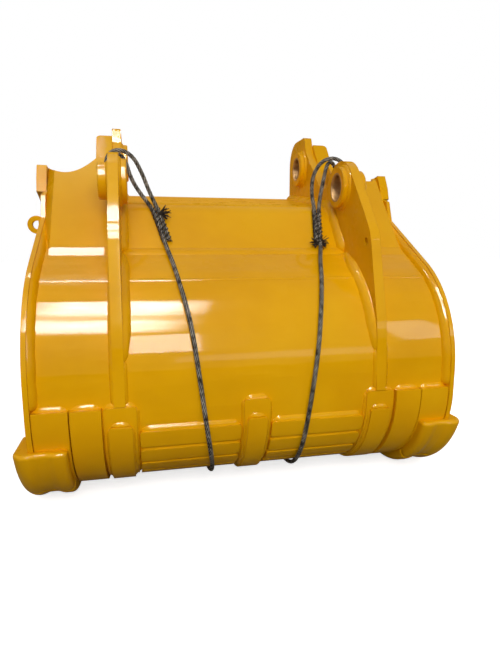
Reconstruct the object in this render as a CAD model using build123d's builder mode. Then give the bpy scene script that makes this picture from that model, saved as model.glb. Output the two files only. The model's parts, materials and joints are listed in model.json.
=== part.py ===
from build123d import *
from math import asin, atan2, cos, degrees, hypot, radians, sin, sqrt, tan
import os

os.makedirs("parts", exist_ok=True)

# Everything is in millimetres. The bucket stands on its floor side: X runs across its width,
# Y runs from the heel towards the teeth, and Z is up from the ground.
# Profiles are drawn in (y, z) with y counted from the rear edge of the side plates.

# Bowl
WIDTH = 2014.0  # across the outer faces of the side plates
SIDE_T = 22.0  # side plate thickness
SHELL_T = 25.0  # wrapper and floor thickness
RIM = 36.0  # how far the side plates stand proud of the wrapper
HEEL_R = 420.0  # outer radius of the heel
BACK_RISE = 116.0  # flat stretch of the back between its two arcs
BACK_R = 564.0  # outer radius of the upper back
BACK_TURN = 60.0  # angle of the upper back arc, degrees
SEAM_DROP = 40.0  # wrapper seam below the end of the upper back arc
SLOPE_RUN = 464.0  # straight slope above the upper back arc
ROOF_ANGLE = 5.0  # rise of the roof, degrees
ROOF_RUN = 795.0  # roof length, measured along Y

# Lip and floor
FLOOR_RUN = 1110.0  # floor from the heel arc to the lip plate
LIP_LENGTH = 340.0
LIP_T = 70.0
LIP_CHAMFER = 22.0
LIP_GAP = 1.0  # side clearance of the lip plate

# Heel wear parts
TOP_RISE = 25.0  # how far the heel plates reach above the heel centre
BASE_T = 18.0
STRAP_T = 18.0
SIDE_STRAP_T = 34.0
CORNER_T = 30.0
BAR_T = 20.0
SHROUD_T = 50.0
HEEL_END = 88.0  # degrees round the heel where the wear plates stop
STRAP_START = 8.0  # degrees round the heel where the top straps start
CENTRE_BASE_W = 126.0
CENTRE_STRAP_W = 94.0
RIB_BASE_W = 144.0
RIB_STRAP_W = 104.0
SIDE_STRAP_SHARE = 0.47  # of the width left beside the rib, the rest is the corner plate
PLATE_GAP = 6.0  # between neighbouring heel plates
CORNER_FIT = 2.0  # between the corner plates and the side plates
BAR_ROWS = 5
BAR_START = 12.8  # degrees round the heel
BAR_SPAN = 11.6
BAR_GAP = 2.4
BAR_END_GAP = 10.0
CORNER_FILLET = 16.0

# Heel shrouds
SHROUD_SPREAD = 65.0  # how far they stand out from the side plates
SHROUD_W = 227.0
SHROUD_LEG = 230.0  # radial length of the leg on the side plate
SHROUD_DROP = 148.0  # flat top of the upper shroud below the heel centre
SHROUD_TURN = 53.5  # degrees round the heel where the upper shroud ends
SHROUD_GAP = 2.6
SHROUD_LOWER_SPAN = 38.0
SHROUD_EDGE = 60.0  # rounding of the outer edge
SHROUD_TOP_EDGE = 16.0  # rounding of the upper shroud's top
SHROUD_DIP = 11.0  # depth of the wave in the wear face
SHROUD_FIT = 2.0

# Hinge box and ears
HINGE_RUN = 175.0  # from the end of the back arc to the foot of the hinge box
HINGE_T = 25.0
HINGE_ANGLE = 51.0  # slope of the rear plate, degrees
HINGE_RISE = 258.0  # height of the rear plate's bend above its foot
HINGE_TOP_ANGLE = 8.0
HINGE_BEND = 150.0
EAR_INSIDE = 594.0  # distance of the ears' inner faces from the middle
EAR_T = 50.0
RIB_STAND = 20.0  # how far the ear ribs stand out of the wrapper at the bottom
LINK_FORWARD = 50.0  # link pin from the foot of the hinge box
LINK_UP = 348.0
PIN_FORWARD = 730.0  # stick pin from the link pin
PIN_UP = 200.0
LUG_R = 195.0  # rounding of the ear's top over the link pin
LUG_FORWARD = 45.0  # its centre from the link pin
LUG_DOWN = 50.0
EAR_TOP = 198.0  # top of the ear above the stick pin
PIN_D = 130.0
BUSH_WALL = 12.5
BUSH_FIT = 0.05
COLLAR_D = 220.0
COLLAR_T = 37.0
HUB_D = 200.0
BOSS_D = 180.0
BOSS_T = 52.0
HUB_CHAMFER = 5.0
BUSH_CHAMFER = 4.0
EYELET_D = 40.0  # small hole in each ear
EYELET_BACK = 322.0
EYELET_DOWN = 295.0

# Wings, gussets and side bars
WING_TOP = 1645.0
WING_STEP = 45.0  # width of the wing's bent end, beside the side plate
WING_SET = 70.0  # how far the wing's end steps in to the side plate
WING_RISE = 62.0  # how far the wing climbs beside the ear
WING_T = 25.0
COVER_DROP = 55.0  # cover plate's rear edge below the wing's top
GUSSET_W = 92.0
GUSSET_T = 30.0
BAR_INSIDE = 5.0  # side bar set out from the side plate's inner face
BAR_W = 52.0
COVER_T = 20.0

# Lifting eye on the side plate
EYE_R = 46.0
EYE_HOLE = 22.0
EYE_T = 25.0

# Teeth
TOOTH_COUNT = 5
TOOTH_EDGE = 125.0  # from the side plates to the middle of the outer teeth
ADAPTER_W = 150.0
ADAPTER_NOSE_W = 100.0
NOSE_L = 165.0
NOSE_H = 128.0
NOSE_TIP_H = 58.0
BODY_L = 95.0
TIP_L = 350.0
TIP_W = 150.0
TIP_H = 186.0
TIP_EDGE_W = 112.0
TIP_EDGE_H = 26.0
TIP_ROUND = 12.0
TIP_SOCKET = 150.0  # straight part of the tip, over the nose
TIP_DROP = 26.0  # cutting edge below the middle of the nose
TIP_CLEAR = 0.5
LOCK_R = 20.0
LOCK_FIT = 0.1
LOCK_LUG = 15.0
LOCK_BACK = 78.0  # lock axis in front of the adapter body
DRIVE = 16.0  # square drive of the lock
DRIVE_DEPTH = 10.0

# Lip shrouds and side cutters
LIP_SHROUD_GAP = 20.0
LIP_SHROUD_T = 28.0
CUTTER_T = 30.0
CUTTER_L = 600.0
CUTTER_BOLTS = 4
BOLT_D = 30.0
BOLT_HEAD = 50.0
BOLT_FIT = 0.5
NUT_W = 46.0
NUT_T = 24.0

# Derived places
half = WIDTH / 2
inside = half - SIDE_T
shroud_r = HEEL_R + CORNER_T + SHROUD_T
heel_y = HEEL_R + RIM
heel_z = shroud_r
floor_z = heel_z - HEEL_R
back_y = heel_y - HEEL_R + BACK_R
back_z = heel_z + BACK_RISE
slope = 90.0 - BACK_TURN
lip_rear = heel_y + FLOOR_RUN
lip_front = lip_rear + LIP_LENGTH
body_front = lip_front + BODY_L
tip_point = body_front + TIP_CLEAR + TIP_L
shroud_start = degrees(asin(SHROUD_DROP / shroud_r))
rear_most = heel_y - sqrt(shroud_r**2 - SHROUD_DROP**2)
middle = (rear_most + tip_point) / 2
ear_outside = EAR_INSIDE + EAR_T
rib_middle = EAR_INSIDE + EAR_T / 2
nose_half = ADAPTER_NOSE_W / 2
tooth_pitch = 2 * (inside - TOOTH_EDGE) / (TOOTH_COUNT - 1)
bush_r = PIN_D / 2 + BUSH_WALL


def along(point, angle, distance):
    """Point at a distance from another, in a direction given in degrees from +Y towards +Z"""
    return (point[0] + distance * cos(radians(angle)), point[1] + distance * sin(radians(angle)))


def meet(p, p_angle, q, q_angle):
    """Crossing of two lines in the (y, z) plane"""
    py, pz = cos(radians(p_angle)), sin(radians(p_angle))
    qy, qz = cos(radians(q_angle)), sin(radians(q_angle))
    t = ((q[0] - p[0]) * qz - (q[1] - p[1]) * qy) / (py * qz - pz * qy)
    return (p[0] + t * py, p[1] + t * pz)


def grazing(point, centre, turn):
    """Direction of the line from a point that touches the ear's rounded top, on either side"""
    reach = hypot(centre[0] - point[0], centre[1] - point[1])
    towards = degrees(atan2(centre[1] - point[1], centre[0] - point[0]))
    return towards + turn * degrees(asin(LUG_R / reach))


def halfway(p, q):
    """Point midway between two others"""
    return ((p[0] + q[0]) / 2, (p[1] + q[1]) / 2)


arc_end = (back_y - BACK_R * cos(radians(BACK_TURN)), back_z + BACK_R * sin(radians(BACK_TURN)))
slope_end = along(arc_end, slope, SLOPE_RUN)
roof_front = (slope_end[0] + ROOF_RUN, slope_end[1] + ROOF_RUN * tan(radians(ROOF_ANGLE)))
hinge_foot = along(arc_end, slope, HINGE_RUN)
hinge_bend = along(hinge_foot, HINGE_ANGLE, HINGE_RISE / sin(radians(HINGE_ANGLE)))
hinge_front = meet(hinge_bend, HINGE_TOP_ANGLE, roof_front, 90.0)
link = (hinge_foot[0] + LINK_FORWARD, hinge_foot[1] + LINK_UP)
stick = (link[0] + PIN_FORWARD, link[1] + PIN_UP)


def side(x):
    """Drawing plane across the width, with y and z as its own axes"""
    return Plane((x, -middle, 0), x_dir=(0, 1, 0), z_dir=(1, 0, 0))


def heel_plane(angle):
    """Plane through the heel axis, with X and the distance from the axis as its own axes"""
    out = (0, -cos(radians(angle)), -sin(radians(angle)))
    normal = Vector(1, 0, 0).cross(Vector(*out))
    return Plane((0, heel_y - middle, heel_z), x_dir=(1, 0, 0), z_dir=normal)


heel_axis = Axis((0, heel_y - middle, heel_z), (1, 0, 0))


def radial(angle):
    """Axis along the heel radius at an angle"""
    return Axis((0, 0, 0), (0, cos(radians(angle)), sin(radians(angle))))


def bowl(grow, front):
    """Outline of the wrapper's outer skin grown by a distance, closed at a given y"""
    heel = HEEL_R + grow
    back = BACK_R + grow
    start = (back_y - back * cos(radians(BACK_TURN)), back_z + back * sin(radians(BACK_TURN)))
    roof = along(slope_end, ROOF_ANGLE + 90, grow)
    corner = meet(start, slope, roof, ROOF_ANGLE)
    end = meet(roof, ROOF_ANGLE, (front, 0), 90.0)
    with BuildLine() as path:
        Line((front, heel_z - heel), (heel_y, heel_z - heel))
        CenterArc((heel_y, heel_z), heel, 180, 90)
        Line((heel_y - heel, heel_z), (heel_y - heel, back_z))
        CenterArc((back_y, back_z), back, 180 - BACK_TURN, BACK_TURN)
        Line(start, corner)
        Line(corner, end)
        Line(end, (front, heel_z - heel))
    return path.edges()


def rounded(points, radii):
    """Closed outline with the numbered corners rounded"""
    with BuildLine() as path:
        FilletPolyline(*points, radius=[radii.get(i, 0) for i in range(len(points))], close=True)
    return path.edges()


def save(part, name):
    """Label a finished piece and write it"""
    part.part.label = name
    export_step(part.part, f"parts/{name}.step")


def shell_piece(name, window):
    """Strip of the bowl's skin that lies inside a window in (y, z)"""
    with BuildPart() as piece:
        with BuildSketch(side(-inside)):
            make_face(bowl(0, tip_point))
            make_face(bowl(-SHELL_T, tip_point + SHELL_T), mode=Mode.SUBTRACT)
            Polygon(*window, align=None, mode=Mode.INTERSECT)
        extrude(amount=2 * inside)
    save(piece, name)


seam_z = arc_end[1] - SEAM_DROP
above = roof_front[1] + RIM
shell_piece("wrapper_lower", [(0, 0), (heel_y, 0), (heel_y, seam_z), (0, seam_z)])
shell_piece("wrapper_upper", [(0, seam_z), (roof_front[0], seam_z), (roof_front[0], above), (0, above)])
shell_piece("floor_plate", [(heel_y, 0), (lip_rear, 0), (lip_rear, back_z), (heel_y, back_z)])

# Thick lip plate with its front edge bevelled top and bottom
with BuildPart() as lip_plate:
    with BuildSketch(side(-inside + LIP_GAP)):
        Polygon(
            (lip_rear, floor_z),
            (lip_front - LIP_CHAMFER, floor_z),
            (lip_front, floor_z + LIP_CHAMFER),
            (lip_front, floor_z + LIP_T - LIP_CHAMFER),
            (lip_front - LIP_CHAMFER, floor_z + LIP_T),
            (lip_rear + LIP_T, floor_z + LIP_T),
            (lip_rear, floor_z + SHELL_T),
            align=None,
        )
    extrude(amount=2 * (inside - LIP_GAP))
save(lip_plate, "lip_plate")

# Corners of the side bar, from its rear end round the top and front edges of the side plate
bar_rear = meet(arc_end, slope, (slope_end[0] - 6, 0), 90.0)
rim_turn = along(bar_rear, 90.0, RIM)
bar_low = (rim_turn[0] + 122, rim_turn[1] + 147)
bar_outer = [
    bar_low,
    (bar_low[0] + 21, bar_low[1] + 68),
    (bar_low[0] + 65, bar_low[1] + 148),
    (roof_front[0] - 25, roof_front[1] + 150),
    (lip_front - 45, floor_z + 230),
]
bar_inner = [
    (lip_front - 215, floor_z + 230),
    (roof_front[0] - 160, roof_front[1] + 10),
    (bar_low[0] + 150, bar_low[1] - 60),
]
bar_radii = {3: 130.0, 6: 110.0, 7: 60.0}
plate_neck = (rim_turn[0] + 45, rim_turn[1] + 122)

# Outline of a side cutter on the front edge of the side bar, and its row of bolts
rake = degrees(atan2(bar_outer[4][1] - bar_outer[3][1], bar_outer[4][0] - bar_outer[3][0]))
edge_low = along(bar_outer[4], rake, -40)
edge_high = along(edge_low, rake, -CUTTER_L)
cutter = [
    along(edge_low, rake + 90, -110),
    along(edge_low, rake + 90, 30),
    along(along(edge_low, rake, -0.1 * CUTTER_L), rake + 90, 78),
    along(along(edge_low, rake, -0.28 * CUTTER_L), rake + 90, 62),
    along(along(edge_low, rake, -0.8 * CUTTER_L), rake + 90, 36),
    edge_high,
    along(edge_high, rake + 90, -90),
]
bolt_pitch = CUTTER_L / CUTTER_BOLTS
bolt_starts = [along(edge_low, rake, -bolt_pitch * (i + 0.47)) for i in range(CUTTER_BOLTS)]
bolt_row = [along(start, rake + 90, -62) for start in bolt_starts]


for hand, word in ((-1, "left"), (1, "right")):
    near = inside if hand > 0 else -half
    with BuildPart() as side_plate:
        with BuildSketch(side(near)):
            make_face(bowl(RIM, rim_turn[0]))
            Polygon(
                rim_turn,
                plate_neck,
                bar_low,
                (bar_low[0], floor_z),
                (lip_front - 45, floor_z),
                (lip_front - 45, floor_z - RIM),
                (rim_turn[0], floor_z - RIM),
                align=None,
            )
            Polygon(
                (bar_low[0], floor_z),
                bar_low,
                halfway(bar_outer[3], bar_inner[1]),
                halfway(bar_outer[4], bar_inner[0]),
                bar_outer[4],
                (lip_front - 45, floor_z),
                align=None,
            )
            make_face(rounded(bar_outer + bar_inner, bar_radii), mode=Mode.SUBTRACT)
        extrude(amount=SIDE_T)
    save(side_plate, f"side_plate_{word}")

    bar_near = inside + BAR_INSIDE if hand > 0 else -(inside + BAR_INSIDE + BAR_W)
    with BuildPart() as side_bar:
        with BuildSketch(side(bar_near)):
            make_face(rounded(bar_outer + bar_inner, bar_radii))
            with Locations(*bolt_row):
                Circle(BOLT_D / 2 + BOLT_FIT, mode=Mode.SUBTRACT)
        extrude(amount=BAR_W)
    save(side_bar, f"side_bar_{word}")

# Hinge box between the ears: a bent rear and top plate, and a front plate
hinge_under = along(hinge_foot, HINGE_ANGLE - 90, HINGE_T)
bend_under = meet(hinge_under, HINGE_ANGLE, along(hinge_bend, HINGE_TOP_ANGLE - 90, HINGE_T), HINGE_TOP_ANGLE)
with BuildPart() as hinge_rear:
    with BuildSketch(side(-EAR_INSIDE)) as section:
        Polygon(
            along(hinge_foot, HINGE_ANGLE, -HINGE_T * 3),
            hinge_bend,
            hinge_front,
            meet(bend_under, HINGE_TOP_ANGLE, hinge_front, 90.0),
            bend_under,
            along(hinge_under, HINGE_ANGLE, -HINGE_T * 3),
            align=None,
        )
        fillet(section.vertices().sort_by_distance((*hinge_bend, 0))[0], HINGE_BEND)
        fillet(section.vertices().sort_by_distance((*bend_under, 0))[0], HINGE_BEND - HINGE_T)
        make_face(bowl(0, tip_point), mode=Mode.SUBTRACT)
    extrude(amount=2 * EAR_INSIDE)
save(hinge_rear, "hinge_rear_plate")

front_top = meet(bend_under, HINGE_TOP_ANGLE, hinge_front, 90.0)
front_inner = meet(bend_under, HINGE_TOP_ANGLE, (hinge_front[0] - HINGE_T, 0), 90.0)
with BuildPart() as hinge_front_plate:
    with BuildSketch(side(-EAR_INSIDE)):
        Polygon(
            front_top,
            front_inner,
            (front_inner[0], roof_front[1] - HINGE_T),
            (front_top[0], roof_front[1] - HINGE_T),
            align=None,
        )
        make_face(bowl(0, tip_point), mode=Mode.SUBTRACT)
    extrude(amount=2 * EAR_INSIDE)
save(hinge_front_plate, "hinge_front_plate")

# Ears: one thick plate each, from the rib at the heel to the stick pin lug
rib_foot = (heel_y - HEEL_R - RIB_STAND, heel_z + TOP_RISE + 2)
shoulder = (link[0] - 368, link[1] - 245)
saddle = (link[0] + 250, link[1] + 20)
lug_centre = (link[0] + LUG_FORWARD, link[1] - LUG_DOWN)
lug_peak = meet(shoulder, grazing(shoulder, lug_centre, 1), saddle, grazing(saddle, lug_centre, -1))
ear_corners = [
    (rib_foot, 0),
    ((rib_foot[0] + 18, shoulder[1] - 455), 600),
    (shoulder, 200),
    (lug_peak, LUG_R),
    (saddle, 60),
    ((stick[0] - 365, stick[1] - 152), 110),
    ((stick[0] - 100, stick[1] + 90), 150),
    ((stick[0] - 54, stick[1] + EAR_TOP), 22),
    ((roof_front[0], stick[1] + EAR_TOP), 150),
    ((roof_front[0], roof_front[1] - RIM), 0),
    ((back_y, back_z), 0),
    ((heel_y, rib_foot[1]), 0),
]


def hub_ends(hand):
    """Inner and outer end of a hub along X"""
    return (hand * (EAR_INSIDE - COLLAR_T), hand * (ear_outside + BOSS_T))


def hub(hand, centre, name):
    """Stepped hub welded through an ear"""
    turning = Plane((0, centre[0] - middle, centre[1]), x_dir=(1, 0, 0), z_dir=(0, -1, 0))
    steps = [
        (EAR_INSIDE - COLLAR_T, bush_r),
        (EAR_INSIDE - COLLAR_T, COLLAR_D / 2),
        (EAR_INSIDE, COLLAR_D / 2),
        (EAR_INSIDE, HUB_D / 2),
        (ear_outside, HUB_D / 2),
        (ear_outside, BOSS_D / 2),
        (ear_outside + BOSS_T, BOSS_D / 2),
        (ear_outside + BOSS_T, bush_r),
    ]
    with BuildPart() as boss:
        with BuildSketch(turning):
            Polygon(*[(hand * x, r) for x, r in steps], align=None)
        revolve(axis=Axis(turning.origin, (1, 0, 0)))
        rims = [e for e in boss.edges().filter_by(GeomType.CIRCLE) if e.radius > bush_r + 1]
        chamfer([e for e in rims if round(e.center().X, 3) in hub_ends(hand)], HUB_CHAMFER)
    save(boss, name)


def bushes(centre, name):
    """Bushes pressed into the hubs of both ears"""
    with BuildPart() as pair:
        for hand in (-1, 1):
            with BuildSketch(side(min(hub_ends(hand)))):
                with Locations(centre):
                    Circle(bush_r - BUSH_FIT)
                    Circle(PIN_D / 2, mode=Mode.SUBTRACT)
            extrude(amount=abs(hub_ends(hand)[1] - hub_ends(hand)[0]))
        mouths = [e for e in pair.edges().filter_by(GeomType.CIRCLE) if e.radius < bush_r - 1]
        chamfer(mouths, BUSH_CHAMFER)
    save(pair, name)


for hand, word in ((-1, "left"), (1, "right")):
    near = EAR_INSIDE if hand > 0 else -ear_outside
    radii = {i: r for i, (point, r) in enumerate(ear_corners) if r}
    with BuildPart() as ear:
        with BuildSketch(side(near)):
            make_face(rounded([point for point, r in ear_corners], radii))
            make_face(bowl(0, tip_point), mode=Mode.SUBTRACT)
            with Locations(link, stick):
                Circle(HUB_D / 2, mode=Mode.SUBTRACT)
            with Locations((link[0] - EYELET_BACK, link[1] - EYELET_DOWN)):
                Circle(EYELET_D / 2, mode=Mode.SUBTRACT)
        extrude(amount=EAR_T)
    save(ear, f"ear_{word}")
    hub(hand, link, f"link_boss_{word}")
    hub(hand, stick, f"stick_boss_{word}")
bushes(link, "link_bushes")
bushes(stick, "stick_bushes")

# Wing plates: flat beside the ear, then stepped in to meet the side plate
flat_end = inside - WING_STEP
wing_span = flat_end - ear_outside
wing_length = (WING_TOP + WING_RISE - hinge_foot[1]) / sin(radians(HINGE_ANGLE))
wing_plane = Plane(
    (0, hinge_foot[0] - middle, hinge_foot[1]),
    x_dir=(1, 0, 0),
    z_dir=(0, cos(radians(HINGE_ANGLE)), sin(radians(HINGE_ANGLE))),
).offset(-3 * WING_T)
wing_inner = [
    (ear_outside, WING_T),
    (flat_end, WING_T),
    (inside, WING_SET + 1.6 * WING_T),
]
wing_outer = [(inside, WING_SET), (flat_end, 0), (ear_outside, 0)]
crest = [(ear_outside - 5, WING_TOP + WING_RISE), (ear_outside + 0.28 * wing_span, WING_TOP + WING_RISE)]
crest_dip = (flat_end - 0.08 * wing_span, WING_TOP - 24)
crest_end = (inside + 5, WING_TOP + 14)
for hand, word in ((-1, "left"), (1, "right")):
    with BuildPart() as wing:
        with BuildSketch(wing_plane):
            Polygon(*[(hand * x, v) for x, v in wing_inner + wing_outer], align=None)
        extrude(amount=wing_length + 6 * WING_T)
        with BuildSketch(side(-half)):
            make_face(bowl(0, tip_point))
        extrude(amount=2 * half, mode=Mode.SUBTRACT)
        with BuildSketch(Plane((0, -middle, 0), x_dir=(1, 0, 0), z_dir=(0, -1, 0))):
            with BuildLine():
                rise = [(hand * x, z) for x, z in crest + [crest_dip, crest_end]]
                Line(rise[0], rise[1])
                Spline(*rise[1:], tangents=((hand, -1.0), (hand, 1.0)))
                Line(rise[3], (rise[3][0], 2 * WING_TOP))
                Line((rise[3][0], 2 * WING_TOP), (rise[0][0], 2 * WING_TOP))
                Line((rise[0][0], 2 * WING_TOP), rise[0])
            make_face()
        extrude(amount=tip_point, both=True, mode=Mode.SUBTRACT)
    save(wing, f"wing_plate_{word}")

# Cover plates that close the wings' tubes in front, down to the roof
cover_rear = meet(hinge_foot, HINGE_ANGLE, (0, WING_TOP - COVER_DROP), 0.0)
cover_front = (roof_front[0], roof_front[1] + COVER_T)
for hand, word in ((-1, "left"), (1, "right")):
    x0, x1 = sorted((hand * ear_outside, hand * inside))
    with BuildPart() as cover:
        with BuildSketch(side(x0)):
            Polygon(
                cover_rear,
                cover_front,
                roof_front,
                (roof_front[0] - COVER_T, roof_front[1] - COVER_T * tan(radians(ROOF_ANGLE))),
                (cover_rear[0], cover_rear[1] - COVER_T),
                align=None,
            )
            make_face(bowl(0, tip_point), mode=Mode.SUBTRACT)
        extrude(amount=x1 - x0)
        with BuildSketch(wing_plane):
            behind = wing_inner + [(inside, -tip_point), (ear_outside, -tip_point)]
            Polygon(*[(hand * x, v) for x, v in behind], align=None)
        extrude(amount=wing_length + 6 * WING_T, mode=Mode.SUBTRACT)
    save(cover, f"wing_cover_{word}")

# Gusset plates on the outside of the stick pin lugs
gusset_top = (stick[0] - 88, stick[1] + 146)
gusset_foot = meet(gusset_top, HINGE_ANGLE, slope_end, ROOF_ANGLE)
with BuildPart() as gussets:
    lean = Plane(
        (0, gusset_top[0] - middle, gusset_top[1]),
        x_dir=(1, 0, 0),
        z_dir=(0, sin(radians(HINGE_ANGLE)), -cos(radians(HINGE_ANGLE))),
    )
    drop = hypot(gusset_top[0] - gusset_foot[0], gusset_top[1] - gusset_foot[1]) + GUSSET_T
    with BuildSketch(lean):
        for hand in (-1, 1):
            with Locations((hand * (ear_outside + GUSSET_W / 2), drop / 2)):
                Rectangle(GUSSET_W, drop)
    extrude(amount=GUSSET_T)
    corners = gussets.edges().filter_by(Axis((0, 0, 0), lean.z_dir)).group_by(Axis.Z)[-1]
    fillet([e for e in corners if abs(e.center().X) > ear_outside + 1], 26)
    with BuildSketch(side(-half)):
        Polygon((0, cover_rear[1]), cover_rear, cover_front, (roof_front[0], 0), (0, 0), align=None)
    extrude(amount=2 * half, mode=Mode.SUBTRACT)
save(gussets, "ear_gussets")

# Heel wear plates


def heel_plate(name, x0, x1, r0, r1, start, rise=0.0, end=HEEL_END, rounded=True):
    """Plate bent round the heel between two radii, from x0 to x1"""
    with BuildPart() as plate:
        with BuildSketch(heel_plane(start)):
            with Locations(((x0 + x1) / 2, (r0 + r1) / 2)):
                Rectangle(x1 - x0, r1 - r0)
        revolve(axis=heel_axis, revolution_arc=end - start)
        if rise:
            with BuildSketch(heel_plane(start)):
                with Locations(((x0 + x1) / 2, (r0 + r1) / 2)):
                    Rectangle(x1 - x0, r1 - r0)
            extrude(amount=-rise)
        if rounded:
            fillet(plate.edges().filter_by(radial(start)).group_by(Axis.Z)[-1], CORNER_FILLET)
    save(plate, name)


base_r = HEEL_R + BASE_T
strap_r = base_r + STRAP_T
heel_plate("heel_base_centre", -CENTRE_BASE_W / 2, CENTRE_BASE_W / 2, HEEL_R, base_r, 0, TOP_RISE)
heel_plate("heel_strap_centre", -CENTRE_STRAP_W / 2, CENTRE_STRAP_W / 2, base_r, strap_r, STRAP_START)
side_strap_x = rib_middle + RIB_BASE_W / 2 + PLATE_GAP
side_strap_w = SIDE_STRAP_SHARE * (inside - CORNER_FIT - side_strap_x - PLATE_GAP)
corner_x = side_strap_x + side_strap_w + PLATE_GAP
bar_x = (CENTRE_BASE_W / 2 + BAR_END_GAP, rib_middle - RIB_BASE_W / 2 - BAR_END_GAP)
for hand, word in ((-1, "left"), (1, "right")):
    spans = {
        "base": (rib_middle - RIB_BASE_W / 2, rib_middle + RIB_BASE_W / 2),
        "strap": (rib_middle - RIB_STRAP_W / 2, rib_middle + RIB_STRAP_W / 2),
        "side": (side_strap_x, side_strap_x + side_strap_w),
        "corner": (corner_x, inside - CORNER_FIT),
    }
    spans = {key: sorted((hand * a, hand * b)) for key, (a, b) in spans.items()}
    heel_plate(f"heel_base_{word}", *spans["base"], HEEL_R, base_r, 0, TOP_RISE)
    heel_plate(f"heel_strap_{word}", *spans["strap"], base_r, strap_r, STRAP_START)
    side_strap_r, corner_plate_r = HEEL_R + SIDE_STRAP_T, HEEL_R + CORNER_T
    heel_plate(f"side_strap_{word}", *spans["side"], HEEL_R, side_strap_r, 0, TOP_RISE, rounded=False)
    heel_plate(f"corner_plate_{word}", *spans["corner"], HEEL_R, corner_plate_r, 0, TOP_RISE, rounded=False)

    # Rows of horizontal wear bars between the heel plates
    x0, x1 = sorted((hand * bar_x[0], hand * bar_x[1]))
    with BuildPart() as bars:
        for row in range(BAR_ROWS):
            angle = BAR_START + row * (BAR_SPAN + BAR_GAP)
            with BuildSketch(heel_plane(angle)):
                with Locations(((x0 + x1) / 2, HEEL_R + BAR_T / 2)):
                    Rectangle(x1 - x0, BAR_T)
            revolve(axis=heel_axis, revolution_arc=BAR_SPAN)
        for row in range(BAR_ROWS):
            for angle in (0, BAR_SPAN):
                turn = BAR_START + row * (BAR_SPAN + BAR_GAP) + angle
                fillet(bars.edges().filter_by(radial(turn)), CORNER_FILLET)
    save(bars, f"wear_bars_{word}")

    # Cast heel shrouds, an upper and a lower one on each corner
    outer = half + SHROUD_SPREAD
    inner = outer - SHROUD_W
    seat = HEEL_R + CORNER_T
    top = shroud_r
    groove = (inside - SHROUD_FIT - PLATE_GAP, half + SHROUD_FIT)
    outline = [
        (inner, seat),
        (inner, top),
        (inner + 52, top),
        (inner + 84, top - SHROUD_DIP),
        (inner + 126, top - SHROUD_DIP),
        (inner + 158, top),
        (outer, top),
        (outer, top - SHROUD_LEG),
        (groove[1], top - SHROUD_LEG),
        (groove[1], HEEL_R + RIM + SHROUD_FIT),
        (groove[0], HEEL_R + RIM + SHROUD_FIT),
        (groove[0], seat),
    ]
    rounds = {1: 24.0, 2: 40.0, 3: 40.0, 4: 40.0, 5: 40.0, 6: SHROUD_EDGE, 7: 16.0}
    outline = [(hand * x, r) for x, r in outline]
    for place, start, span in (
        ("upper", shroud_start, SHROUD_TURN - shroud_start),
        ("lower", SHROUD_TURN + SHROUD_GAP, SHROUD_LOWER_SPAN),
    ):
        with BuildPart() as shroud:
            with BuildSketch(heel_plane(start)):
                make_face(rounded(outline, rounds))
            revolve(axis=heel_axis, revolution_arc=span)
            with BuildSketch(side(-outer)):
                with Locations((heel_y, heel_z)):
                    top_flat = (Align.CENTER, Align.MIN)
                    with Locations((0, -SHROUD_DROP)):
                        Rectangle(2 * top, top, align=top_flat)
            extrude(amount=2 * outer, mode=Mode.SUBTRACT)
            if place == "upper":
                flat = shroud.faces().sort_by(Axis.Z)[-1]
                fillet(flat.edges().sort_by(Axis.X, reverse=hand > 0)[0], SHROUD_TOP_EDGE)
        save(shroud, f"heel_shroud_{place}_{word}")

# Lifting eye on the outer face of the left side plate
eye_centre = (slope_end[0] - 30, slope_end[1] - 4)
with BuildPart() as eye:
    face = Plane((-half, eye_centre[0] - middle, eye_centre[1]), x_dir=(1, 0, 0), z_dir=(0, 1, 0))
    with BuildSketch(face):
        with Locations((-EYE_R * 0.4, 0)):
            Circle(EYE_R)
            Circle(EYE_HOLE, mode=Mode.SUBTRACT)
        with Locations((half, 0)):
            Rectangle(2 * half, 2 * half, mode=Mode.SUBTRACT)
    extrude(amount=EYE_T)
save(eye, "lifting_eye")

# Teeth: adapters astride the lip, tips on their noses, and the turning locks that hold them
adapter_side = [
    (lip_front - 250, floor_z + LIP_T),
    (lip_front - 245, floor_z + LIP_T + 20),
    (lip_front - 70, floor_z + LIP_T + 68),
    (lip_front + 40, floor_z + LIP_T + 70),
    (body_front, floor_z + LIP_T + 58),
    (body_front, 10),
    (lip_front + 60, 0),
    (lip_front - 175, 0),
    (lip_front - 205, floor_z - 45),
    (lip_front - 205, floor_z),
    (lip_front - LIP_CHAMFER, floor_z),
    (lip_front + 1, floor_z + LIP_CHAMFER),
    (lip_front + 1, floor_z + LIP_T - LIP_CHAMFER),
    (lip_front - LIP_CHAMFER, floor_z + LIP_T),
]
nose_z = (floor_z + LIP_T + 58 + 10) / 2
lock_at = (body_front + LOCK_BACK, nose_z)


def across(x, y, z):
    """Plane that faces the teeth, at a point"""
    return Plane((x, y - middle, z), x_dir=(1, 0, 0), z_dir=(0, 1, 0))


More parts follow.
